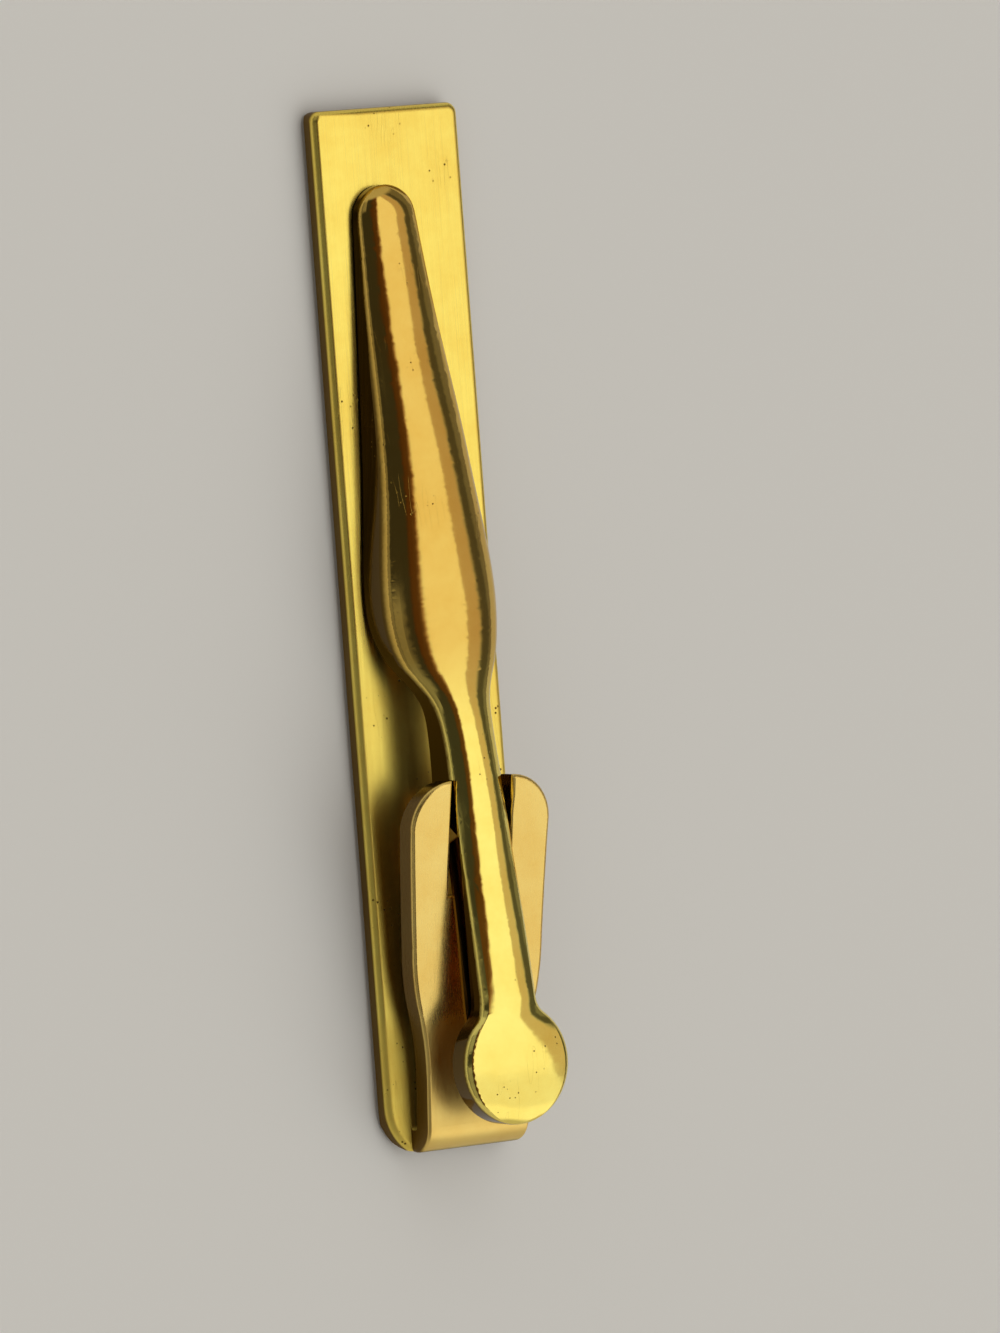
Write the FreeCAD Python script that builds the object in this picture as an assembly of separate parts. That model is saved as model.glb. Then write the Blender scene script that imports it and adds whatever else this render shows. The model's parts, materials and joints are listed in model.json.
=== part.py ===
import FreeCAD, Part
import math
import os

from FreeCAD import Vector

# Tie clip: a folded strip carries a sprung see-saw lever on a cross pin.
# X runs across the bar, Y along it towards the jaw tip, Z up out of the bar's back.
# The bar lies on its front face at z = 0, with the origin under the middle of the part.

# Folded strip, in mm: bar, bend and bracket plate share one sheet
bar_length = 57.0
bar_width = 9.5
sheet = 1.2
shoulder_run = 2.6
bend_height = 3.06
neck_width = 6.6
edge_radius = 0.4
corner_ease = 0.2
front_chamfer = 0.3
front_heel_run = 1.95

# Bracket plate: distances run from the bend's outer end, angles are in degrees
plate_reach = 20.3
plate_width = 9.0
waist_width = 8.45
waist_start = 11.3
waist_end = 4.0
plate_angle_at_bend = 5.5
plate_angle_at_lobes = 12.0
slot_side_gap = 0.3
slot_length = 6.3
plate_edge_radius = 0.2

# Hinge: ears turned down beside the slot, pin pressed into them
pin_from_lobes = 1.6
pin_below_plate = 1.75
pin_diameter = 0.9
pin_head_overhang = 0.1
pin_head_height = 0.2
ear_thickness = 0.8
ear_wall = 0.5
pin_running_clearance = 0.08

# Lever: pressed sheet, lengths from the pin, heights above the bar's back or the pin,
# resting a little askew within the pin's play
lever_sheet = 0.45
jaw_reach = 34.1
jaw_widest = 11.3
neck_start = 4.7
crease = 1.0
stem_start = 1.5
pad_reach = 14.03
tip_width = 3.75
jaw_width = 7.2
shoulder_width = 3.3
fulcrum_width = 3.3
stem_width = 3.5
pad_diameter = 6.7
tip_crown = 1.5
jaw_crown = 3.9
shoulder_crown = 1.85
fulcrum_crown = 2.3
stem_crown = 3.15
pad_crown = 3.36
tip_arch = 1.03
jaw_arch = 2.0
neck_arch = 1.0
stem_arch = 0.8
pad_arch = 0.8
jaw_gap = 0.1
jaw_foot = 0.35
neck_foot = 0.45
stem_foot = 1.74
pad_foot = 1.5
lug_wall = 0.45
lug_side_gap = 0.2
lever_askew_angle = 1.5
crown_corner_share = 0.65
pad_drop_share = 0.95

# Jaw flare, from the tip to the widest place: shares of run, of widening and of rise
flare_shares = (
    (0.04, 0.03, 0.04),
    (0.09, 0.07, 0.09),
    (0.16, 0.13, 0.16),
    (0.24, 0.2, 0.25),
    (0.52, 0.46, 0.66),
    (0.76, 0.73, 0.89),
)

# Round ends of jaw and pad: places round a quarter turn, in degrees from the side to the end
tip_angles = (0, 25, 50, 70, 83)
pad_angles = (0, 15, 30, 45, 60, 73, 84)
tip_drop_share = 0.9

# Shoulder, from the widest place to the neck: shares of run, of narrowing and of rise
shoulder_shares = (
    (0.18, 0.03, 0.0),
    (0.36, 0.13, 0.02),
    (0.52, 0.32, 0.12),
    (0.68, 0.65, 0.36),
    (0.84, 0.91, 0.7),
)

# Stem, from the crease to the pad's joint: shares of run and of rise
stem_shares = ((0.3, 0.27), (0.6, 0.64), (0.82, 0.86), (0.94, 0.96))

# Joint of stem and pad: distance from the pad's middle as a share of its radius, share of widening
pad_joint_shares = ((1.15, 0.0), (1.0, 0.02), (0.86, 0.1), (0.7, 0.4), (0.42, 0.81))

# Leaf spring: curled on the pin, resting on the slot's end, bowed up to the stem
leaf_thickness = 0.2
leaf_side_gap = 0.15
leaf_tongue_gap = 0.325
leaf_tongue_run = 0.95
leaf_reach = 11.7
leaf_curl_angle = 250.0
leaf_end_angle = 4.0
leaf_clearance = 0.05
leaf_stem_gap = 0.08

# One overrun serves all cuts, and one tolerance finds edges
overrun = 2.0
same_place = 0.001

# Places worked out from the sizes above
bend_end = -bar_length / 2
bend_radius = bend_height / 2
bend_y = bend_end + bend_radius
lobes_y = bend_end + plate_reach
slot_end_y = lobes_y - slot_length
pin_y = lobes_y - pin_from_lobes
pin_radius = pin_diameter / 2
ear_radius = pin_radius + ear_wall
lug_radius = pin_radius + pin_running_clearance + lug_wall
start_rise = math.radians(plate_angle_at_bend)
end_rise = math.radians(plate_angle_at_lobes)
plate_start_y = bend_y - bend_radius * math.sin(start_rise)
plate_start_z = bend_radius + bend_radius * math.cos(start_rise)
plate_radius = (lobes_y - plate_start_y) / (math.sin(end_rise) - math.sin(start_rise))
slot_width = max(shoulder_width, fulcrum_width) + 2 * slot_side_gap
ear_face = slot_width / 2
lobe_radius = (plate_width - slot_width) / 2
bar_corner = edge_radius + corner_ease
leaf_width = slot_width - 2 * leaf_side_gap
leaf_tongue_width = fulcrum_width - 2 * (lever_sheet + leaf_tongue_gap)
leaf_tongue_length = lug_radius + leaf_tongue_run


def plate_top(y):
    """Height of the bracket plate's top face at a place along the bar."""
    centre_y = plate_start_y - plate_radius * math.sin(start_rise)
    centre_z = plate_start_z + plate_radius * math.cos(start_rise)
    return centre_z - math.sqrt(plate_radius ** 2 - (y - centre_y) ** 2)


pin_z = plate_top(pin_y) - pin_below_plate
tip_y = pin_y + jaw_reach - tip_width / 2
pad_y = pin_y - pad_reach
top_z = pin_z + pad_crown + overrun
pad_radius = pad_diameter / 2
joint_y = pad_y + pad_radius * pad_joint_shares[0][0]
crease_y = pin_y + crease


def mix(first, last, share):
    """Value a share of the way from the first to the last."""
    return first + (last - first) * share


def side(y, z):
    """Point in the middle plane of the clip."""
    return Vector(0, y, z)


def line(first, last):
    """Straight edge."""
    return Part.LineSegment(first, last).toShape()


def arc(first, middle, last):
    """Round edge through three points."""
    return Part.Arc(first, middle, last).toShape()


def across(wire, half):
    """Solid from an outline in the middle plane, as wide as half on each side."""
    face = Part.Face(wire)
    face.translate(Vector(-half, 0, 0))
    return face.extrude(Vector(2 * half, 0, 0))


def cross_cylinder(radius, half):
    """Solid bar of round section along the pin's axis."""
    return Part.makeCylinder(radius, 2 * half, Vector(-half, pin_y, pin_z), Vector(1, 0, 0))


def upright(wire, bottom, top):
    """Solid from a plan outline at z = 0, between two heights."""
    face = Part.Face(wire)
    face.translate(Vector(0, 0, bottom))
    return face.extrude(Vector(0, 0, top - bottom))


def tangent_arc(first, last, place):
    """Arc between two places, each (along Y, aside), that leaves the first along Y."""
    run = last[0] - first[0]
    drift = last[1] - first[1]
    radius = (run ** 2 + drift ** 2) / (2 * abs(drift))
    sag = math.copysign(radius - math.sqrt(radius ** 2 - (run / 2) ** 2), drift)
    return arc(place(*first), place(first[0] + run / 2, first[1] + sag), place(*last))


def step_curve(first, last, place):
    """Two equal arcs from one place to the other, leaving both along Y."""
    centre = (mix(first[0], last[0], 0.5), mix(first[1], last[1], 0.5))
    return [tangent_arc(first, centre, place), tangent_arc(last, centre, place)]


def ribbon(start, heading, runs, thickness):
    """Outline of a bent strip from its middle line: runs are lengths with the turn made over each."""
    y, z = start
    left, right = [], []
    for length, turn in runs:
        places = []
        for share in (0, 0.5, 1):
            angle = heading + turn * share
            if turn:
                radius = length / turn
                py = y + radius * (math.sin(angle) - math.sin(heading))
                pz = z - radius * (math.cos(angle) - math.cos(heading))
            else:
                py = y + length * share * math.cos(heading)
                pz = z + length * share * math.sin(heading)
            places.append((py, pz, angle))
        for edges, offset in ((left, thickness / 2), (right, -thickness / 2)):
            points = [side(py - offset * math.sin(a), pz + offset * math.cos(a)) for py, pz, a in places]
            edges.append(arc(*points) if turn else line(points[0], points[2]))
        y, z, heading = places[2]
    start_cap = line(left[0].Vertexes[0].Point, right[0].Vertexes[0].Point)
    end_cap = line(left[-1].Vertexes[-1].Point, right[-1].Vertexes[-1].Point)
    return Part.Wire(Part.__sortEdges__(left + right + [start_cap, end_cap]))


def folded_strip():
    """Bar, bend and plate as one bent strip, wide enough for both outlines to be cut from it."""
    middle_radius = bend_radius - sheet / 2
    bend_turn = start_rise - math.pi
    plate_turn = end_rise - start_rise
    runs = (
        (bar_length / 2 - bend_y, 0),
        (middle_radius * -bend_turn, bend_turn),
        ((plate_radius + sheet / 2) * plate_turn, plate_turn),
    )
    return across(ribbon((bar_length / 2, sheet / 2), math.pi, runs, sheet), bar_width + plate_width)


def plan(x, y):
    """Point of a plan outline."""
    return Vector(x, y, 0)


def plan_along(y, x):
    """Point of a plan outline, given along the bar first."""
    return Vector(x, y, 0)


def mirrored(edges):
    """Edges with their twins on the other side of the middle plane."""
    twins = [edge.mirror(Vector(), Vector(1, 0, 0)) for edge in edges]
    return Part.Wire(Part.__sortEdges__(edges + twins))


def bar_outline():
    """Plan of the bar: square far end with eased corners, rounded shoulders at the neck."""
    half = bar_width / 2
    far = bar_length / 2
    turn_x = half - bar_corner
    turn_y = far - bar_corner
    ease = bar_corner * math.sin(math.pi / 4)
    neck = neck_width / 2
    edges = [
        line(plan(0, far), plan(turn_x, far)),
        arc(plan(turn_x, far), plan(turn_x + ease, turn_y + ease), plan(half, turn_y)),
        line(plan(half, turn_y), plan(half, bend_end + shoulder_run)),
    ]
    edges.append(tangent_arc((bend_end + shoulder_run, half), (bend_end, neck), plan_along))
    edges.append(line(plan(neck, bend_end), plan(neck, bend_end - overrun)))
    edges.append(line(plan(neck, bend_end - overrun), plan(0, bend_end - overrun)))
    return mirrored(edges)


def plate_outline():
    """Plan of the bend and plate: neck, waist and two round lobes."""
    neck = neck_width / 2
    waist = waist_width / 2
    lobe = plate_width / 2
    ease = lobe_radius * math.sin(math.pi / 4)
    lobe_x = lobe - lobe_radius
    lobe_y = lobes_y - lobe_radius
    edges = [
        line(plan(0, bend_end - overrun), plan(neck, bend_end - overrun)),
        line(plan(neck, bend_end - overrun), plan(neck, bend_end + waist_end)),
    ]
    edges += step_curve((bend_end + waist_end, neck), (bend_end + waist_start, waist), plan_along)
    edges += [
        line(plan(waist, bend_end + waist_start), plan(lobe, lobe_y)),
        arc(plan(lobe, lobe_y), plan(lobe_x + ease, lobe_y + ease), plan(lobe_x, lobes_y)),
        line(plan(lobe_x, lobes_y), plan(0, lobes_y)),
    ]
    return mirrored(edges)


def ears():
    """Two ears turned down from the slot's sides, round below the pin."""
    outer = ear_face + ear_thickness
    reach = plate_top(pin_y) - sheet / 2 - pin_z
    block = Part.makeBox(2 * outer, 2 * ear_radius, reach, Vector(-outer, pin_y - ear_radius, pin_z))
    return block.fuse(cross_cylinder(ear_radius, outer))


def slot():
    """Cut that lets the lever and the leaf through the plate."""
    return Part.makeBox(slot_width, slot_length + overrun, top_z, Vector(-ear_face, slot_end_y, sheet))


def level_edges(shape, z):
    """Edges of a shape that lie flat at a height."""
    return [edge for edge in shape.Edges if max(abs(v.Z - z) for v in edge.Vertexes) < same_place]


def plate_edges(shape):
    """Top edges of the bracket plate: its outline, the bend's sides and the slot."""
    found = []
    for edge in shape.Edges:
        middle = edge.valueAt((edge.FirstParameter + edge.LastParameter) / 2)
        on_plate = middle.y > plate_start_y and abs(middle.z - plate_top(middle.y)) < same_place
        on_bend = abs(edge.BoundBox.YMin - bend_end) < same_place
        if on_plate or on_bend:
            found.append(edge)
    return found


def rectangle(half, near, far, z):
    """Level rectangle about the middle of the bar."""
    corners = [Vector(-half, near, z), Vector(half, near, z), Vector(half, far, z), Vector(-half, far, z)]
    return Part.makePolygon(corners + corners[:1])


def front_form():
    """Block that gives the front face its chamfered sides and far end and its heel at the bend."""
    half = bar_width / 2
    far = bar_length / 2
    heel = bend_end + shoulder_run
    face = rectangle(half - front_chamfer, heel, far - front_chamfer, 0)
    rim = rectangle(half, heel - front_heel_run, far, front_chamfer)
    lower = Part.makeLoft([face, rim], True, True)
    near = bend_end - overrun
    return lower.fuse(upright(rectangle(half, near, far, 0), front_chamfer, sheet))


def flat_bar():
    """The bar's own plan with eased back edges and a chamfered front."""
    bar = upright(bar_outline(), 0, sheet)
    return bar.makeFillet(edge_radius, level_edges(bar, sheet)).common(front_form())


def front_bar():
    """The folded strip with its outlines, ears, slot, pin holes and eased edges."""
    strip = folded_strip()
    lower = strip.common(flat_bar())
    upper = strip.common(upright(plate_outline(), sheet, top_z)).cut(slot())
    upper = upper.removeSplitter()
    upper = upper.makeFillet(plate_edge_radius, plate_edges(upper))
    shape = lower.fuse(upper).fuse(ears().cut(slot()))
    return shape.cut(cross_cylinder(pin_radius, bar_width)).removeSplitter()


def half_section(half_width, foot, wall_top, crown):
    """Edges of one side of a lever section, from the foot up to the crown, as places across and up."""
    rise = crown - wall_top
    corner = rise * crown_corner_share
    reach = half_width - corner
    arch = (reach ** 2 + rise ** 2 - corner ** 2) / (2 * (rise - corner))
    lean = math.atan2(arch - rise, reach)
    joint = (arch * math.cos(lean), crown - arch + arch * math.sin(lean))
    middle = (reach + corner * math.cos(lean / 2), wall_top + corner * math.sin(lean / 2))
    return (half_width, foot), (half_width, wall_top), middle, joint, (0, crown)


def station(y, place, hand=1):
    """Point of a lever section at a place along the bar, on one hand or the other."""
    return Vector(hand * place[0], y, place[1])


def section(y, half_width, foot, wall_top, crown):
    """Closed lever section at a place: flat foot, upright walls, round corners, arched crown."""
    places = half_section(half_width, foot, wall_top, crown)
    low, wall, middle, joint, top = [station(y, place) for place in places]
    far_low, far_wall, far_middle, far_joint, _ = [station(y, place, -1) for place in places]
    return Part.Wire([
        line(far_low, far_wall),
        arc(far_wall, far_middle, far_joint),
        arc(far_joint, top, joint),
        arc(joint, middle, wall),
        line(wall, low),
        line(low, far_low),
    ])


def round_end(inset, hand, middle, width, crown, arch, drop_share, angles):
    """Sections of a round end from its middle outwards: Y, half width, crown height and arch."""
    radius = width / 2 - inset
    places = []
    for turn in angles:
        half = radius * math.cos(math.radians(turn)) + inset
        drop = arch * drop_share * (1 - math.cos(math.radians(turn)))
        y = middle + hand * radius * math.sin(math.radians(turn))
        places.append((y, half, crown - drop, arch - drop))
    return places


def jaw_places(inset):
    """Sections from the jaw's tip to the crease over the pin: Y, half width, crown height and arch."""
    widest = pin_y + jaw_widest
    neck = pin_y + neck_start
    tip_top = sheet + tip_crown
    jaw_top = sheet + jaw_crown
    neck_top = pin_z + shoulder_crown
    angles = tip_angles[:-1] if inset else tip_angles
    places = round_end(inset, 1, tip_y, tip_width, tip_top, tip_arch, tip_drop_share, angles)[::-1]
    for run, widening, rise in flare_shares:
        half = mix(tip_width, jaw_width, widening) / 2
        crown = mix(tip_top, jaw_top, rise)
        places.append((mix(tip_y, widest, run), half, crown, mix(tip_arch, jaw_arch, widening)))
    places.append((widest, jaw_width / 2, jaw_top, jaw_arch))
    for run, narrowing, rise in shoulder_shares:
        half = mix(jaw_width, shoulder_width, narrowing) / 2
        crown = mix(jaw_top, neck_top, rise)
        places.append((mix(widest, neck, run), half, crown, mix(jaw_arch, neck_arch, narrowing)))
    places.append((neck, shoulder_width / 2, neck_top, neck_arch))
    places.append((crease_y, fulcrum_width / 2, pin_z + fulcrum_crown, neck_arch))
    return places


def pad_places(inset):
    """Sections from behind the crease to the pad's end: Y, half width, crown height and arch."""
    pad_top = pin_z + pad_crown
    places = []
    for run, rise in stem_shares:
        half = mix(fulcrum_width, stem_width, run) / 2
        crown = pin_z + mix(fulcrum_crown, stem_crown, rise)
        places.append((mix(crease_y, joint_y, run), half, crown, mix(neck_arch, stem_arch, run)))
    for distance, widening in pad_joint_shares:
        half = mix(stem_width / 2, pad_radius, widening)
        crown = pin_z + mix(stem_crown, pad_crown, widening)
        places.append((pad_y + pad_radius * distance, half, crown, mix(stem_arch, pad_arch, widening)))
    return places + round_end(inset, -1, pad_y, pad_diameter, pad_top, pad_arch, pad_drop_share, pad_angles)


def lever_body(inset, foot):
    """Closed lever form drawn in by an inset, lofted from tip to pad."""
    wires = []
    for y, half, crown, arch in jaw_places(inset) + pad_places(inset):
        wires.append(section(y, half - inset, foot, crown - inset - arch, crown - inset))
    return Part.makeLoft(wires, True, False)


def lever_side():
    """Side view of the lever above its foot line, across the whole width, with the pivot lug."""
    widest = pin_y + jaw_widest
    neck = pin_y + neck_start
    far = pin_y + jaw_reach + overrun
    near = pad_y - pad_diameter
    points = [
        side(neck, pin_z - neck_foot),
        side(pin_y, pin_z - neck_foot),
        side(pin_y - stem_start, pin_z + stem_foot),
        side(pad_y + pad_radius, pin_z + pad_foot),
        side(near, pin_z + pad_foot),
        side(near, top_z),
        side(far, top_z),
        side(far, sheet + jaw_gap),
        side(widest, sheet + jaw_foot),
    ]
    edges = [line(first, last) for first, last in zip(points, points[1:])]
    edges += step_curve((widest, sheet + jaw_foot), (neck, pin_z - neck_foot), side)
    outline = Part.Wire(Part.__sortEdges__(edges))
    return across(outline, bar_width).fuse(cross_cylinder(lug_radius, bar_width))


def lever():
    """The pressed lever: hollow form cut to its foot line, with bosses bored for the pin."""
    body = lever_body(0, -overrun).common(lever_side())
    boss = cross_cylinder(lug_radius, ear_face - lug_side_gap)
    hollow = lever_body(lever_sheet, -2 * overrun)
    bore = cross_cylinder(pin_radius + pin_running_clearance, bar_width)
    shape = body.fuse(boss).cut(hollow).cut(bore).removeSplitter()
    shape.rotate(side(pin_y, pin_z), Vector(0, 0, 1), lever_askew_angle)
    return shape


def hinge_pin():
    """Plain pin with a peened head against each ear."""
    outer = ear_face + ear_thickness
    head_radius = pin_radius + pin_head_overhang
    pin = cross_cylinder(pin_radius, outer + pin_head_height)
    for x in (-outer - pin_head_height, outer):
        seat = Vector(x, pin_y, pin_z)
        pin = pin.fuse(Part.makeCylinder(head_radius, pin_head_height, seat, Vector(1, 0, 0)))
    return pin.removeSplitter()


def stem_underside(y):
    """Height of the stem's foot at a place."""
    start = pin_y - stem_start
    share = (start - y) / (start - pad_y - pad_radius)
    return pin_z + mix(stem_foot, pad_foot, min(share, 1))


def leaf_runs(tongue_slope, straight):
    """Curl, straight tongue and two opposite bows that end under the stem."""
    curl = math.radians(leaf_curl_angle)
    curl_radius = pin_radius + leaf_clearance + leaf_thickness / 2
    end_slope = math.radians(leaf_end_angle)
    free = leaf_reach - (pin_y - slot_end_y)
    rest_z = plate_top(slot_end_y) + leaf_clearance + leaf_thickness / 2
    end_z = stem_underside(pin_y - leaf_reach) - leaf_stem_gap - leaf_thickness / 2
    steepest = (4 * (end_z - rest_z) / free - tongue_slope - end_slope) / 2
    return (
        (curl_radius * curl, curl),
        (straight, 0),
        (free / 2, tongue_slope - steepest),
        (free / 2, steepest - end_slope),
    )


def leaf_spring():
    """Bowed leaf curled on the pin: a narrow tongue between the lugs, then the full width."""
    curl_radius = pin_radius + leaf_clearance + leaf_thickness / 2
    run = pin_y - slot_end_y
    climb = plate_top(slot_end_y) + leaf_clearance + leaf_thickness / 2 - pin_z
    reach = math.hypot(run, climb)
    slope = math.atan2(climb, run) - math.asin(curl_radius / reach)
    straight = math.sqrt(reach ** 2 - curl_radius ** 2)
    start_angle = math.pi / 2 - slope - math.radians(leaf_curl_angle)
    start = (pin_y + curl_radius * math.cos(start_angle), pin_z + curl_radius * math.sin(start_angle))
    outline = ribbon(start, start_angle + math.pi / 2, leaf_runs(slope, straight), leaf_thickness)
    leaf = across(outline, leaf_width / 2)
    tongue_end = pin_y - leaf_tongue_length
    spare = (leaf_width - leaf_tongue_width) / 2
    for place in (-leaf_width / 2, leaf_tongue_width / 2):
        leaf = leaf.cut(Part.makeBox(spare, leaf_reach, top_z, Vector(place, tongue_end, 0)))
    return leaf


def main():
    """Builds every piece and writes one file for each."""
    os.makedirs("parts", exist_ok=True)
    pieces = {
        "front_bar": front_bar(),
        "lever": lever(),
        "hinge_pin": hinge_pin(),
        "leaf_spring": leaf_spring(),
    }
    for name, shape in pieces.items():
        shape.exportStep("parts/" + name + ".step")
        box = shape.BoundBox
        print(name, shape.ShapeType, len(shape.Solids), shape.isValid(), round(shape.Volume, 3),
              [round(v, 2) for v in (box.XMin, box.XMax, box.YMin, box.YMax, box.ZMin, box.ZMax)])


main()
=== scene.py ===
"""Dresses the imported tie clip: finishes for its bar, lever, pin and leaf, a studio and a camera."""

import json
import logging
import math
from dataclasses import dataclass, field
from enum import Enum
from typing import Any, ClassVar, Optional, Sequence

import bmesh
import bpy
from mathutils import Matrix, Vector


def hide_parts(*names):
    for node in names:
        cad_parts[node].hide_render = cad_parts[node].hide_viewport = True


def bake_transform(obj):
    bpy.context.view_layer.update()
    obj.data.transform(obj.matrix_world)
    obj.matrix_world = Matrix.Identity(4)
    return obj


LOG = logging.getLogger("tie_clip")
MM = 0.001
Edge = tuple[float, float]

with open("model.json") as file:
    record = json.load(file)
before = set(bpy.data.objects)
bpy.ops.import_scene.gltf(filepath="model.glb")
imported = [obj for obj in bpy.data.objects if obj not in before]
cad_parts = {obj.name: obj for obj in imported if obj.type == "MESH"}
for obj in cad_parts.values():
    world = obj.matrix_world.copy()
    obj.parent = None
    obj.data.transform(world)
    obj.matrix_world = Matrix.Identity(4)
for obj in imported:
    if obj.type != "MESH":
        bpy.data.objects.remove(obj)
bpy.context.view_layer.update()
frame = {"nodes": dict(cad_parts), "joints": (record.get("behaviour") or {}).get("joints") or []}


class Body(Enum):
    """The two moving bodies of the clip."""

    BAR = "bar"
    LEVER = "jaw_lever"


class Wear(Enum):
    """How far a plated surface has been handled."""

    FRESH = 0.0
    LIGHT = 0.5


def linear(hex_colour: str) -> tuple[float, float, float, float]:
    """Turns an sRGB hex colour into linear light.

    Args:
        hex_colour: Six hex digits with a leading hash.

    Returns:
        Red, green and blue in linear light, with an alpha of one.
    """
    values = []
    for start in (1, 3, 5):
        level = int(hex_colour[start:start + 2], 16) / 255
        values.append(level / 12.92 if level <= 0.04045 else ((level + 0.055) / 1.055) ** 2.4)
    return (values[0], values[1], values[2], 1.0)


def add_node(tree: bpy.types.NodeTree, kind: str, inputs: Optional[dict[Any, Any]] = None,
             **settings: Any) -> bpy.types.Node:
    """Adds one node with its settings, values and links.

    Args:
        tree: The node tree that takes the node.
        kind: The node's type name.
        inputs: Values, or sockets to link from, by the input's name or index.
        **settings: The node's own properties.

    Returns:
        The new node.
    """
    node = tree.nodes.new(kind)
    for name, value in settings.items():
        setattr(node, name, value)
    for key, value in (inputs or {}).items():
        if isinstance(value, bpy.types.NodeSocket):
            tree.links.new(value, node.inputs[key])
        else:
            node.inputs[key].default_value = value
    return node


@dataclass(frozen=True)
class Zone:
    """A stretch of a piece that is finished differently: its mirror, grain and knocks change there, and so
    does its tone, which on the jaw is painted shade.

    It comes in from start to stop, in millimetres along its axis, and goes on from there.
    """

    axis: str
    start: float
    stop: float
    colour: Optional[str] = None
    extra_roughness: float = 0.0
    grain: float = 1.0
    knocks: float = 0.0

    def share(self, tree: bpy.types.NodeTree, split: bpy.types.Node) -> bpy.types.NodeSocket:
        """Adds the zone's share.

        Args:
            tree: The material's node tree.
            split: The place on the clip in millimetres, split by axis.

        Returns:
            1 inside the zone and 0 outside.
        """
        return add_node(tree, "ShaderNodeMapRange", {
            "Value": split.outputs[self.axis], 1: self.start, 2: self.stop},
            interpolation_type="SMOOTHSTEP").outputs[0]


@dataclass(frozen=True)
class Roll:
    """The long edge on the left, which buffing has rolled over a little. Sizes in millimetres."""

    start: float
    stop: float
    drop: float


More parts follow.
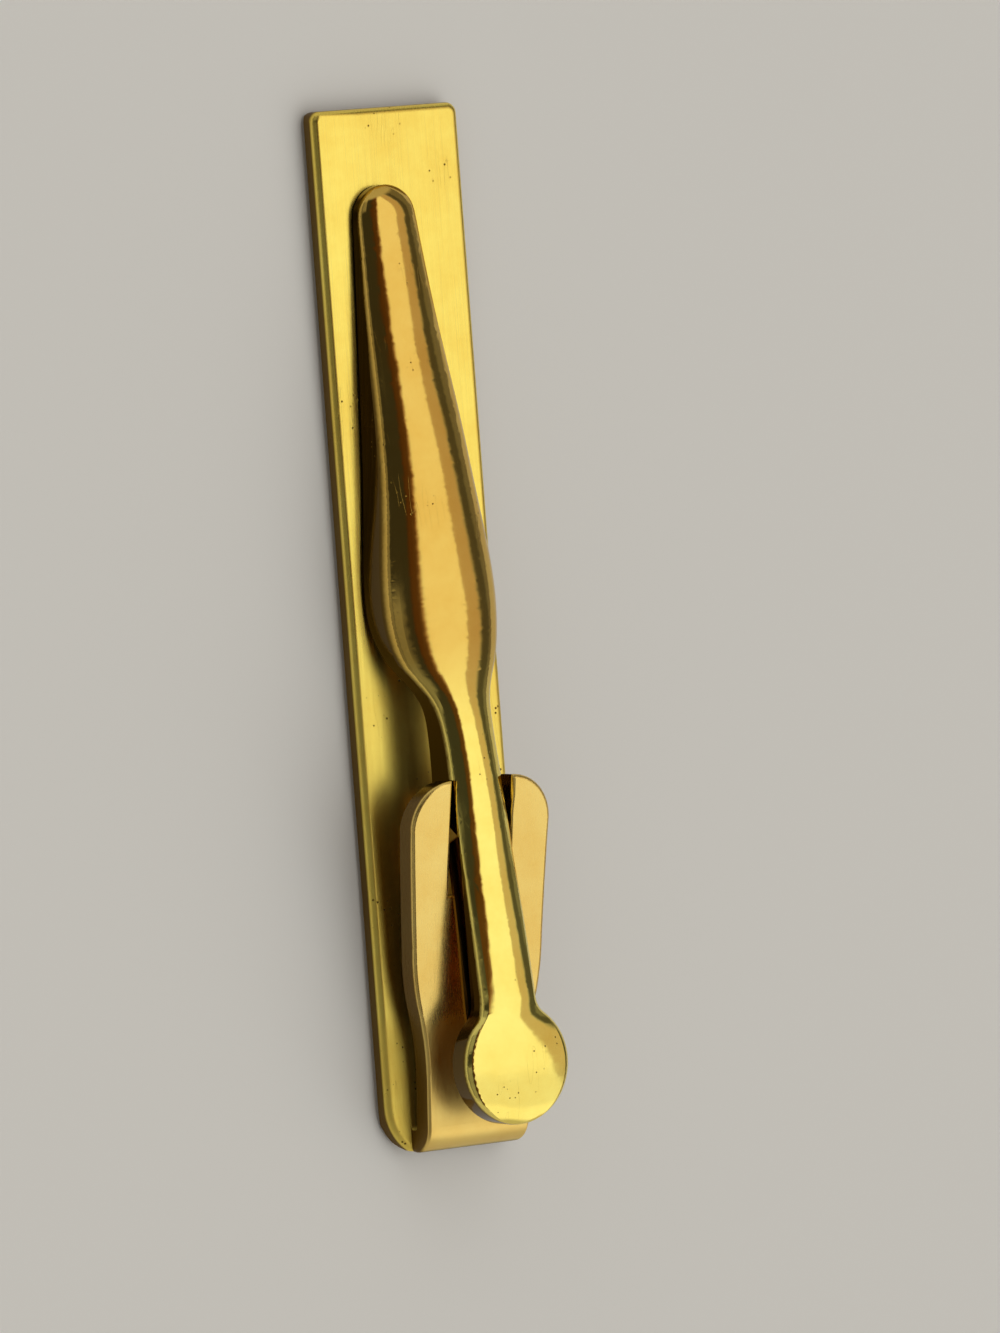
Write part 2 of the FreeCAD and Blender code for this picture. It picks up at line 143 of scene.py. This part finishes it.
@dataclass(frozen=True)
class GoldPlate:
    """Gold plating on brass, buffed on a wheel: a mirror with fine orange-peel grain and long buffing lines.

    The tone deepens in patches. Handling leaves small pits and hairlines. Upright faces are painted a darker
    colour, a painted dark reflection.
    """

    # Where the painted dark reflection on upright faces, deeper tone and buffing lines come in, as a
    # normal's height and as levels of noise.
    PAINTED_SHADE_WALL_EDGE: ClassVar[Edge] = (0.1, 0.5)
    TONE_EDGE: ClassVar[Edge] = (0.35, 0.7)
    BUFF_EDGE: ClassVar[Edge] = (0.3, 0.7)
    # Hairlines follow the middle level of a noise that is drawn out along a heading.
    HAIRLINE_DEGREES: ClassVar[float] = 28.0
    HAIRLINES_PER_MM: ClassVar[tuple[float, float, float]] = (2.6, 0.3, 0.6)
    HAIRLINE_LEVEL: ClassVar[float] = 0.5
    HAIRLINE_EDGE: ClassVar[Edge] = (0.001, 0.004)
    HAIRLINE_STRENGTH: ClassVar[float] = 0.25
    # Marks lie in patches above a level of noise, which wear lowers.
    PATCH_LEVEL: ClassVar[float] = 0.72
    PATCH_WEAR: ClassVar[float] = 0.2
    PATCH_FADE: ClassVar[float] = 0.05
    # Inside a mark.
    MARK_ROUGHNESS: ClassVar[float] = 0.35
    PIT_DEPTH_SHARE: ClassVar[float] = 0.1

    name: str
    colour: str
    deepening: str
    # Painted dark reflection: the darker colour painted on upright faces.
    painted_shade_wall_colour: str
    pit_colour: str
    low_roughness: float
    high_roughness: float
    peel_mm: float
    peel_height_mm: float
    buff_mm: float
    buff_run_mm: float
    buff_height_mm: float
    pit_spacing_mm: float
    pit_mm: float
    tone_mm: float
    wear: Wear
    zones: tuple[Zone, ...]
    roll: Optional[Roll] = None

    def build(self) -> bpy.types.Material:
        """Makes the plated metal's material.

        Returns:
            The material, with all patterns in the clip's own frame.
        """
        material = bpy.data.materials.new(self.name)
        material.use_nodes = True
        tree = material.node_tree
        shader = tree.nodes["Principled BSDF"]
        place = add_node(tree, "ShaderNodeTexCoord")
        in_mm = add_node(tree, "ShaderNodeVectorMath", {
            0: place.outputs["Object"], "Scale": 1 / MM}, operation="SCALE").outputs[0]
        split = add_node(tree, "ShaderNodeSeparateXYZ", {0: in_mm})
        facing = add_node(tree, "ShaderNodeSeparateXYZ", {0: place.outputs["Normal"]})
        # Upright faces get painted shade: the dark reflection they show is painted into their colour.
        painted_shade_walls = add_node(tree, "ShaderNodeMapRange", {
            "Value": facing.outputs["Z"], 1: self.PAINTED_SHADE_WALL_EDGE[0], 2: self.PAINTED_SHADE_WALL_EDGE[1], 3: 1.0, 4: 0.0},
            interpolation_type="SMOOTHSTEP").outputs[0]
        shares = [zone.share(tree, split) for zone in self.zones]
        buffed = self._buffing(tree, in_mm)
        marks = self._marks(tree, in_mm, shares)
        self._colour(tree, shader, in_mm, shares, painted_shade_walls, marks)
        self._roughness(tree, shader, buffed, shares, marks)
        self._relief(tree, shader, in_mm, split.outputs["X"], buffed, shares, marks)
        shader.inputs["Metallic"].default_value = 1.0
        return material

    def _buffing(self, tree: bpy.types.NodeTree, in_mm: bpy.types.NodeSocket) -> bpy.types.NodeSocket:
        """Adds long fine lines along the clip, as the buffing wheel leaves them.

        Args:
            tree: The material's node tree.
            in_mm: The place on the clip in millimetres.

        Returns:
            A value from 0 to 1 that changes quickly across the lines.
        """
        pitch = (1 / self.buff_mm, 1 / self.buff_run_mm, 1 / self.buff_mm)
        lines = add_node(tree, "ShaderNodeMapping", {"Vector": in_mm, "Scale": pitch})
        return add_node(tree, "ShaderNodeTexNoise", {
            "Vector": lines.outputs[0], "Scale": 1.0, "Detail": 4.0, "Roughness": 0.6}).outputs["Fac"]

    def _marks(self, tree: bpy.types.NodeTree, in_mm: bpy.types.NodeSocket,
               shares: Sequence[bpy.types.NodeSocket]) -> bpy.types.NodeSocket:
        """Adds small pits and hairlines in patches, where the plating has been knocked and rubbed.

        Args:
            tree: The material's node tree.
            in_mm: The place on the clip in millimetres.
            shares: For each zone, 1 inside it.

        Returns:
            1 inside a pit, less inside a hairline, and 0 outside.
        """
        cells = add_node(tree, "ShaderNodeTexVoronoi", {
            "Vector": in_mm, "Scale": 1 / self.pit_spacing_mm, "Randomness": 1.0})
        reach = self.pit_mm / self.pit_spacing_mm
        pits = add_node(tree, "ShaderNodeMapRange", {
            "Value": cells.outputs["Distance"], 1: reach / 2, 2: reach, 3: 1.0, 4: 0.0},
            interpolation_type="SMOOTHSTEP")
        heading = (0.0, 0.0, math.radians(self.HAIRLINE_DEGREES))
        turned = add_node(tree, "ShaderNodeMapping", {
            "Vector": in_mm, "Rotation": heading, "Scale": self.HAIRLINES_PER_MM})
        drift = add_node(tree, "ShaderNodeTexNoise", {
            "Vector": turned.outputs[0], "Scale": 1.0, "Detail": 0.0})
        level = add_node(tree, "ShaderNodeMath", {
            0: drift.outputs["Fac"], 1: self.HAIRLINE_LEVEL}, operation="SUBTRACT")
        beside = add_node(tree, "ShaderNodeMath", {0: level.outputs[0]}, operation="ABSOLUTE")
        hairlines = add_node(tree, "ShaderNodeMapRange", {
            "Value": beside.outputs[0], 1: self.HAIRLINE_EDGE[0], 2: self.HAIRLINE_EDGE[1],
            3: self.HAIRLINE_STRENGTH, 4: 0.0}, interpolation_type="SMOOTHSTEP")
        most = add_node(tree, "ShaderNodeMath", {
            0: pits.outputs[0], 1: hairlines.outputs[0]}, operation="MAXIMUM")
        rubbed = add_node(tree, "ShaderNodeTexNoise", {
            "Vector": in_mm, "Scale": 1 / self.tone_mm, "Detail": 1.0}).outputs["Fac"]
        for share, zone in zip(shares, self.zones):
            rubbed = add_node(tree, "ShaderNodeMath", {
                0: share, 1: zone.knocks, 2: rubbed}, operation="MULTIPLY_ADD").outputs[0]
        edge = self.PATCH_LEVEL - self.PATCH_WEAR * self.wear.value
        patches = add_node(tree, "ShaderNodeMapRange", {
            "Value": rubbed, 1: edge, 2: edge + self.PATCH_FADE}, interpolation_type="SMOOTHSTEP")
        return add_node(tree, "ShaderNodeMath", {0: most.outputs[0], 1: patches.outputs[0]},
                        operation="MULTIPLY").outputs[0]

    def _colour(self, tree: bpy.types.NodeTree, shader: bpy.types.Node, in_mm: bpy.types.NodeSocket,
                shares: Sequence[bpy.types.NodeSocket], painted_shade_walls: bpy.types.NodeSocket,
                marks: bpy.types.NodeSocket) -> None:
        """Mixes the plating's tones, the jaw's painted shade, the painted dark reflection on upright faces
        and the dark of its marks.

        Args:
            tree: The material's node tree.
            shader: The metal's shader.
            in_mm: The place on the clip in millimetres.
            shares: For each zone, 1 inside it.
            painted_shade_walls: 1 on upright faces, which carry the painted dark reflection.
            marks: 1 inside a mark.
        """
        tone = add_node(tree, "ShaderNodeTexNoise", {
            "Vector": in_mm, "Scale": 1 / self.tone_mm, "Detail": 6.0, "Roughness": 0.7})
        deep = add_node(tree, "ShaderNodeMapRange", {
            "Value": tone.outputs["Fac"], 1: self.TONE_EDGE[0], 2: self.TONE_EDGE[1]}).outputs[0]
        colour = linear(self.colour)
        tints = [(share, zone.colour) for share, zone in zip(shares, self.zones) if zone.colour]
        # Zone tints, the jaw's painted shade among them, then the painted dark reflection on upright faces.
        for where, tint in tints + [(painted_shade_walls, self.painted_shade_wall_colour)]:
            colour = add_node(tree, "ShaderNodeMix", {
                0: where, 6: colour, 7: linear(tint)}, data_type="RGBA").outputs[2]
        colour = add_node(tree, "ShaderNodeMix", {
            0: deep, 6: colour, 7: linear(self.deepening)},
            data_type="RGBA", blend_type="MULTIPLY").outputs[2]
        colour = add_node(tree, "ShaderNodeMix", {
            0: marks, 6: colour, 7: linear(self.pit_colour)}, data_type="RGBA").outputs[2]
        tree.links.new(colour, shader.inputs["Base Color"])

    def _roughness(self, tree: bpy.types.NodeTree, shader: bpy.types.Node, buffed: bpy.types.NodeSocket,
                   shares: Sequence[bpy.types.NodeSocket], marks: bpy.types.NodeSocket) -> None:
        """Dulls the mirror along the buffing lines, in the zones and in the marks.

        Args:
            tree: The material's node tree.
            shader: The metal's shader.
            buffed: The buffing lines.
            shares: For each zone, 1 inside it.
            marks: 1 inside a mark.
        """
        total = add_node(tree, "ShaderNodeMapRange", {
            "Value": buffed, 1: self.BUFF_EDGE[0], 2: self.BUFF_EDGE[1],
            3: self.low_roughness, 4: self.high_roughness})
        extras = [(share, zone.extra_roughness) for share, zone in zip(shares, self.zones)]
        for where, extra in extras + [(marks, self.MARK_ROUGHNESS)]:
            total = add_node(tree, "ShaderNodeMath", {
                0: where, 1: extra, 2: total.outputs[0]}, operation="MULTIPLY_ADD")
        tree.links.new(total.outputs[0], shader.inputs["Roughness"])

    def _relief(self, tree: bpy.types.NodeTree, shader: bpy.types.Node, in_mm: bpy.types.NodeSocket,
                across: bpy.types.NodeSocket, buffed: bpy.types.NodeSocket,
                shares: Sequence[bpy.types.NodeSocket], marks: bpy.types.NodeSocket) -> None:
        """Rolls the long edge, raises the grain, lays the buffing lines and sinks the marks.

        Args:
            tree: The material's node tree.
            shader: The metal's shader.
            in_mm: The place on the clip in millimetres.
            across: The place across the clip in millimetres.
            buffed: The buffing lines.
            shares: For each zone, 1 inside it.
            marks: 1 inside a mark.
        """
        rolled: dict[str, bpy.types.NodeSocket] = {}
        if self.roll:
            past = add_node(tree, "ShaderNodeMapRange", {
                "Value": across, 1: self.roll.start, 2: self.roll.stop})
            fall = add_node(tree, "ShaderNodeMath", {0: past.outputs[0], 1: 2.0}, operation="POWER")
            rolled["Normal"] = add_node(tree, "ShaderNodeBump", {
                "Height": fall.outputs[0], "Distance": self.roll.drop * MM, "Strength": 1.0},
                invert=True).outputs[0]
        height = add_node(tree, "ShaderNodeTexNoise", {
            "Vector": in_mm, "Scale": 1 / self.peel_mm, "Detail": 2.0, "Roughness": 0.55}).outputs["Fac"]
        for share, zone in zip(shares, self.zones):
            swell = add_node(tree, "ShaderNodeMapRange", {"Value": share, 3: 1.0, 4: zone.grain})
            height = add_node(tree, "ShaderNodeMath", {
                0: height, 1: swell.outputs[0]}, operation="MULTIPLY").outputs[0]
        grain = add_node(tree, "ShaderNodeBump", {
            "Height": height, "Distance": self.peel_height_mm * MM, "Strength": 1.0, **rolled})
        lines = add_node(tree, "ShaderNodeBump", {
            "Height": buffed, "Distance": self.buff_height_mm * MM, "Strength": 1.0,
            "Normal": grain.outputs[0]})
        sunk = add_node(tree, "ShaderNodeBump", {
            "Height": marks, "Distance": self.PIT_DEPTH_SHARE * self.pit_mm * MM, "Strength": 1.0,
            "Normal": lines.outputs[0]}, invert=True)
        tree.links.new(sunk.outputs[0], shader.inputs["Normal"])


# Buffed plating on the bar: satin and scuffed under the plate, grainier and deeper on the folded plate.
BAR_PLATE = GoldPlate(
    name="gold_plate_buffed_bar", colour="#F6DF6E", deepening="#F7EBD8",
    painted_shade_wall_colour="#6E5622", pit_colour="#7A5E20",
    low_roughness=0.2, high_roughness=0.3, peel_mm=0.3, peel_height_mm=0.0006,
    buff_mm=0.09, buff_run_mm=7.0, buff_height_mm=0.00025,
    pit_spacing_mm=0.55, pit_mm=0.08, tone_mm=4.5, wear=Wear.LIGHT,
    zones=(Zone("Y", 2.0, -4.0, extra_roughness=0.1, grain=1.5, knocks=0.2),
           Zone("Z", 1.6, 2.4, colour="#EDD07A", extra_roughness=-0.1, grain=2.0, knocks=-0.3),
           Zone("Y", -20.5, -22.5, extra_roughness=0.12)),
    roll=Roll(start=-1.8, stop=-4.75, drop=0.42))

# Brighter plating on the pressed lever, buffed along its length; the jaw is painted a deeper orange than the
# rest, painted shade for how the light falls on it.
LEVER_PLATE = GoldPlate(
    name="gold_plate_mirror_lever", colour="#F8E67C", deepening="#F8EFDC",
    painted_shade_wall_colour="#5E4818", pit_colour="#6E521C",
    low_roughness=0.06, high_roughness=0.11, peel_mm=0.28, peel_height_mm=0.0005,
    buff_mm=0.08, buff_run_mm=9.0, buff_height_mm=0.0002,
    pit_spacing_mm=0.4, pit_mm=0.06, tone_mm=4.0, wear=Wear.LIGHT,
    # The jaw's deeper orange tone is painted shade.
    zones=(Zone("Y", -7.0, 0.0, colour="#DFBB5E", extra_roughness=0.01, grain=1.3, knocks=0.02),
           Zone("Y", -21.5, -23.5, knocks=0.03)))

# Drawn brass wire for the pin, washed with gold.
PIN_WIRE = GoldPlate(
    name="gold_washed_brass_wire", colour="#E2BC62", deepening="#EADAC0",
    painted_shade_wall_colour="#B58C3C", pit_colour="#5E4218",
    low_roughness=0.18, high_roughness=0.3, peel_mm=0.15, peel_height_mm=0.0004,
    buff_mm=0.05, buff_run_mm=2.0, buff_height_mm=0.0003,
    pit_spacing_mm=0.6, pit_mm=0.05, tone_mm=2.0, wear=Wear.FRESH,
    zones=(Zone("X", 2.4, 2.7, colour="#D3A850", extra_roughness=0.08, grain=2.0, knocks=0.1),))

# Rolled spring bronze for the leaf, washed with gold.
LEAF_STRIP = GoldPlate(
    name="gold_washed_spring_bronze", colour="#EBC466", deepening="#EADAC0",
    painted_shade_wall_colour="#B48A3C", pit_colour="#61451A",
    low_roughness=0.1, high_roughness=0.2, peel_mm=0.2, peel_height_mm=0.0004,
    buff_mm=0.06, buff_run_mm=4.0, buff_height_mm=0.0003,
    pit_spacing_mm=0.7, pit_mm=0.05, tone_mm=3.0, wear=Wear.LIGHT,
    zones=(Zone("Y", -12.0, -9.0, colour="#C99A48", extra_roughness=0.06, grain=1.5, knocks=0.05),))


@dataclass
class LeafSpring:
    """The bowed leaf: curled on the pin, lying in the slot, rising under the stem. Sizes in millimetres."""

    pin: Vector
    thickness: float = 0.2
    width: float = 3.6
    tongue_width: float = 1.75
    tongue_length: float = 1.93
    taper: float = 0.5
    reach: float = 11.7
    pin_radius: float = 0.45
    clearance: float = 0.05
    curl_degrees: float = 250.0
    end_degrees: float = 4.0
    rest_run: float = 4.7
    rest_rise: float = 1.0176
    end_rise: float = 1.32
    steps: int = 24
    piece: Optional[bpy.types.Object] = field(default=None, init=False)

    def centre_line(self) -> list[tuple[float, float, float]]:
        """Follows the leaf's middle from its curled end to its free end.

        Returns:
            Places along Y and Z in millimetres, with the heading there in radians.
        """
        radius = self.pin_radius + self.clearance + self.thickness / 2
        reach = math.hypot(self.rest_run, self.rest_rise)
        slope = math.atan2(self.rest_rise, self.rest_run) - math.asin(radius / reach)
        straight = math.sqrt(reach ** 2 - radius ** 2)
        curl = math.radians(self.curl_degrees)
        end = math.radians(self.end_degrees)
        free = self.reach - self.rest_run
        steepest = (4 * (self.end_rise - self.rest_rise) / free - slope - end) / 2
        start = math.pi / 2 - slope - curl
        line = [(self.pin.y + radius * math.cos(start), self.pin.z + radius * math.sin(start),
                 start + math.pi / 2)]
        runs = ((radius * curl, curl), (straight, 0.0),
                (free / 2, slope - steepest), (free / 2, steepest - end))
        for length, turn in runs:
            step = length / self.steps
            bend = turn / self.steps
            for _ in range(self.steps):
                y, z, heading = line[-1]
                middle = heading + bend / 2
                line.append((y + step * math.cos(middle), z + step * math.sin(middle), heading + bend))
        return line

    def half_width(self, y: float) -> float:
        """Gives half the leaf's width at a place along Y: a narrow tongue that widens past the lugs."""
        share = min(max((self.pin.y - self.tongue_length - y) / self.taper + 1.0, 0.0), 1.0)
        return (self.tongue_width + (self.width - self.tongue_width) * share) / 2

    def build(self) -> bpy.types.Object:
        """Makes the leaf's mesh, a strip of even thickness along its middle line.

        Returns:
            The leaf, which stands for its CAD node.
        """
        mesh = bpy.data.meshes.new("spring_leaf")
        work = bmesh.new()
        rings = []
        for y, z, heading in self.centre_line():
            half = self.half_width(y)
            up = Vector((0, -math.sin(heading), math.cos(heading))) * (self.thickness / 2)
            middle = Vector((0, y, z))
            corners = [middle + up + Vector((half, 0, 0)), middle + up - Vector((half, 0, 0)),
                       middle - up - Vector((half, 0, 0)), middle - up + Vector((half, 0, 0))]
            rings.append([work.verts.new(corner * MM) for corner in corners])
        for first, last in zip(rings, rings[1:]):
            for k in range(4):
                work.faces.new((first[k], first[(k + 1) % 4], last[(k + 1) % 4], last[k]))
        work.faces.new(rings[0])
        work.faces.new(reversed(rings[-1]))
        bmesh.ops.recalc_face_normals(work, faces=work.faces)
        work.to_mesh(mesh)
        work.free()
        self.piece = bpy.data.objects.new("spring_leaf", mesh)
        bpy.context.scene.collection.objects.link(self.piece)
        return self.piece

    def dress(self) -> None:
        """Gives the leaf its finish, sets its mesh in place and hides its CAD node."""
        self.piece.data.materials.append(LEAF_STRIP.build())
        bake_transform(self.piece)
        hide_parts("leaf_spring")


@dataclass
class Studio:
    """A pale table in a soft room: bright above and to the right, dim on the left, dark beside the camera.

    Levels are strengths of light. Edges are where the light changes, in degrees from overhead.
    """

    floor_size_m: float = 3.0
    floor_gap_mm: float = 0.02
    floor_colour: str = "#F6F6F4"
    floor_roughness: float = 0.85
    light_colour: str = "#FFFDF6"
    fringe_colour: str = "#E8A060"
    dark: float = 0.045
    strip: float = 0.2
    side: float = 0.25
    fringe: float = 0.08
    key: float = 1.15
    key_drop: float = 0.42
    right_drop: float = 0.5
    right_strip: float = 0.5
    right_warmth: float = 0.35
    front_drop: float = 0.15
    ends: float = 0.55
    # Across the clip, from left to right.
    strip_rise: Edge = (-96.0, -92.0)
    strip_fall: Edge = (-78.0, -72.0)
    side_rise: Edge = (-76.0, -70.0)
    side_fall: Edge = (-34.0, -27.0)
    fringe_rise: Edge = (-24.0, -19.0)
    key_rise: Edge = (-13.0, -5.0)
    left_warm_rise: Edge = (-24.0, -21.0)
    left_warm_fall: Edge = (-12.0, -7.0)
    # Across the clip too, and slanted along it by this share.
    slant: float = 0.8
    key_fall: Edge = (42.0, 46.0)
    right_fall: Edge = (62.0, 70.0)
    right_strip_rise: Edge = (80.0, 84.0)
    right_warm_rise: Edge = (43.0, 47.0)
    right_warm_fall: Edge = (62.0, 68.0)
    # Along the clip, from the fold to the tip, and to both ends.
    front_fall: Edge = (-30.0, -24.0)
    front_rise: Edge = (-12.0, -4.0)
    side_stop: Edge = (-6.0, 4.0)
    side_start: Edge = (14.0, 24.0)
    ends_edge: Edge = (44.0, 58.0)

    def build(self) -> None:
        """Lays the floor and sets the room's light."""
        self._floor()
        self._room()

    def _floor(self) -> None:
        """Lays the pale table top just under the clip."""
        half = self.floor_size_m / 2
        mesh = bpy.data.meshes.new("table_top")
        corners = [(-half, -half, 0), (half, -half, 0), (half, half, 0), (-half, half, 0)]
        mesh.from_pydata(corners, [], [(0, 1, 2, 3)])
        table = bpy.data.objects.new("table_top", mesh)
        table.location.z = -self.floor_gap_mm * MM
        bpy.context.scene.collection.objects.link(table)
        # Matt laminate on the table top.
        material = bpy.data.materials.new("matt_laminate_pale")
        material.use_nodes = True
        shader = material.node_tree.nodes["Principled BSDF"]
        shader.inputs["Base Color"].default_value = linear(self.floor_colour)
        shader.inputs["Roughness"].default_value = self.floor_roughness
        mesh.materials.append(material)

    def _room(self) -> None:
        """Sets the room's light by its direction across and along the clip."""
        world = bpy.data.worlds.new("studio_room")
        world.use_nodes = True
        bpy.context.scene.world = world
        tree = world.node_tree
        towards = add_node(tree, "ShaderNodeTexCoord").outputs["Generated"]
        split = add_node(tree, "ShaderNodeSeparateXYZ", {0: towards})
        across = add_node(tree, "ShaderNodeMath", {
            0: split.outputs["X"], 1: split.outputs["Z"]}, operation="ARCTAN2").outputs[0]
        along = add_node(tree, "ShaderNodeMath", {0: split.outputs["Y"]}, operation="ARCSINE").outputs[0]
        slanted = add_node(tree, "ShaderNodeMath", {
            0: along, 1: self.slant, 2: across}, operation="MULTIPLY_ADD").outputs[0]
        aside = add_node(tree, "ShaderNodeMath", {0: along}, operation="ABSOLUTE").outputs[0]
        middle = self._steps(tree, aside, 1.0, ((self.ends_edge, -1.0),))
        level = self._level(tree, across, slanted, along)
        strength = add_node(tree, "ShaderNodeMix", {0: middle, 2: self.ends, 3: level}, data_type="FLOAT")
        warmth = add_node(tree, "ShaderNodeMath", {
            0: self._warmth(tree, across, slanted), 1: middle}, operation="MULTIPLY")
        tint = add_node(tree, "ShaderNodeMix", {
            0: warmth.outputs[0], 6: linear(self.light_colour), 7: linear(self.fringe_colour)},
            data_type="RGBA")
        background = tree.nodes["Background"]
        tree.links.new(strength.outputs[0], background.inputs["Strength"])
        tree.links.new(tint.outputs[2], background.inputs["Color"])

    def _level(self, tree: bpy.types.NodeTree, across: bpy.types.NodeSocket, slanted: bpy.types.NodeSocket,
               along: bpy.types.NodeSocket) -> bpy.types.NodeSocket:
        """Adds the level of the light between the room's two ends.

        Args:
            tree: The room's node tree.
            across: The angle across the clip in radians.
            slanted: The same angle, slanted along the clip.
            along: The angle along the clip in radians.

        Returns:
            The strength of the light.
        """
        left = self._steps(tree, across, self.dark, (
            (self.strip_rise, self.strip), (self.strip_fall, -self.strip),
            (self.fringe_rise, self.fringe), (self.key_rise, self.key - self.dark - self.fringe)))
        right = self._steps(tree, slanted, 0.0, (
            (self.key_fall, -self.key_drop * self.key), (self.right_fall, -self.right_drop * self.key),
            (self.right_strip_rise, self.right_strip * self.strip)))
        both = add_node(tree, "ShaderNodeMath", {0: left, 1: right}, operation="ADD").outputs[0]
        side = self._steps(tree, across, 0.0, ((self.side_rise, self.side), (self.side_fall, -self.side)))
        around = self._steps(tree, along, 1.0, ((self.side_stop, -1.0), (self.side_start, 1.0)))
        level = add_node(tree, "ShaderNodeMath", {
            0: side, 1: around, 2: both}, operation="MULTIPLY_ADD").outputs[0]
        front = self._steps(tree, along, 1.0, (
            (self.front_fall, -self.front_drop), (self.front_rise, self.front_drop)))
        return add_node(tree, "ShaderNodeMath", {0: level, 1: front}, operation="MULTIPLY").outputs[0]

    def _warmth(self, tree: bpy.types.NodeTree, across: bpy.types.NodeSocket,
                slanted: bpy.types.NodeSocket) -> bpy.types.NodeSocket:
        """Adds the warm fringes on both sides of the light.

        Args:
            tree: The room's node tree.
            across: The angle across the clip in radians.
            slanted: The same angle, slanted along the clip.

        Returns:
            How far the light has the fringe's colour, from 0 to 1.
        """
        left = self._steps(tree, across, 0.0, ((self.left_warm_rise, 1.0), (self.left_warm_fall, -1.0)))
        right = self._steps(tree, slanted, 0.0, (
            (self.right_warm_rise, self.right_warmth), (self.right_warm_fall, -self.right_warmth)))
        return add_node(tree, "ShaderNodeMath", {0: left, 1: right}, operation="ADD").outputs[0]

    def _steps(self, tree: bpy.types.NodeTree, angle: bpy.types.NodeSocket, base: float,
               steps: Sequence[tuple[Edge, float]]) -> bpy.types.NodeSocket:
        """Adds up soft steps over an angle.

        Args:
            tree: The room's node tree.
            angle: The angle in radians.
            base: The value before the first step.
            steps: For each step, its edge in degrees and the change over it.

        Returns:
            The sum of the base and the steps.
        """
        total: Any = base
        for (start, stop), change in steps:
            step = add_node(tree, "ShaderNodeMapRange", {
                "Value": angle, 1: math.radians(start), 2: math.radians(stop), 3: 0.0, 4: change},
                interpolation_type="SMOOTHSTEP")
            total = add_node(tree, "ShaderNodeMath", {
                0: total, 1: step.outputs[0]}, operation="ADD").outputs[0]
        return total


@dataclass
class PhotoCamera:
    """The photograph's viewpoint, which leans to the bar's left. Sizes in millimetres and degrees."""

    distance: float = 650.0
    lean: float = 33.1
    pitch: float = 2.7
    roll: float = 4.3
    pixels_per_mm: float = 18.28
    frame_height: float = 1333.0
    offset_x: float = -4.8
    offset_y: float = 2.13
    sensor: float = 36.0
    nearest: float = 10.0

    def build(self) -> bpy.types.Object:
        """Places the camera.

        Returns:
            The camera, set as the scene's own.
        """
        lean = Matrix.Rotation(math.radians(self.lean), 3, "Y")
        pitch = Matrix.Rotation(math.radians(self.pitch), 3, "X")
        roll = Matrix.Rotation(math.radians(self.roll), 3, "Z")
        turn = (roll @ pitch @ lean).transposed()
        data = bpy.data.cameras.new("photo_camera")
        data.sensor_fit = "VERTICAL"
        data.sensor_height = self.sensor
        data.lens = self.pixels_per_mm * self.distance / self.frame_height * self.sensor
        data.clip_start = self.nearest * MM
        camera = bpy.data.objects.new("photo_camera", data)
        seat = turn @ Vector((-self.offset_x, -self.offset_y, self.distance))
        camera.matrix_world = Matrix.Translation(seat * MM) @ turn.to_4x4()
        bpy.context.scene.collection.objects.link(camera)
        bpy.context.scene.camera = camera
        return camera


@dataclass
class TieClip:
    """The whole clip: the CAD pieces that keep their shape and the leaf that bends."""

    leaf: LeafSpring

    def dress_nodes(self) -> None:
        """Gives each CAD piece that stays in view its own finish."""
        for node, finish in (("front_bar", BAR_PLATE), ("lever", LEVER_PLATE), ("hinge_pin", PIN_WIRE)):
            mesh = frame["nodes"][node].data
            mesh.materials.clear()
            mesh.materials.append(finish.build())
            LOG.info("%s dressed in %s", node, finish.name)


def main() -> None:
    """Builds the clip's pieces, the studio and the camera in order."""
    logging.basicConfig(level=logging.INFO, format="%(name)s: %(message)s")
    bpy.context.scene.view_settings.view_transform = "Standard"
    pin = Vector(frame["joints"][0]["pos_m"]) / MM
    clip = TieClip(LeafSpring(pin))
    clip.dress_nodes()
    clip.leaf.build()
    clip.leaf.dress()
    LOG.info("spring_leaf built")
    Studio().build()
    PhotoCamera().build()


if __name__ == "__main__":
    main()
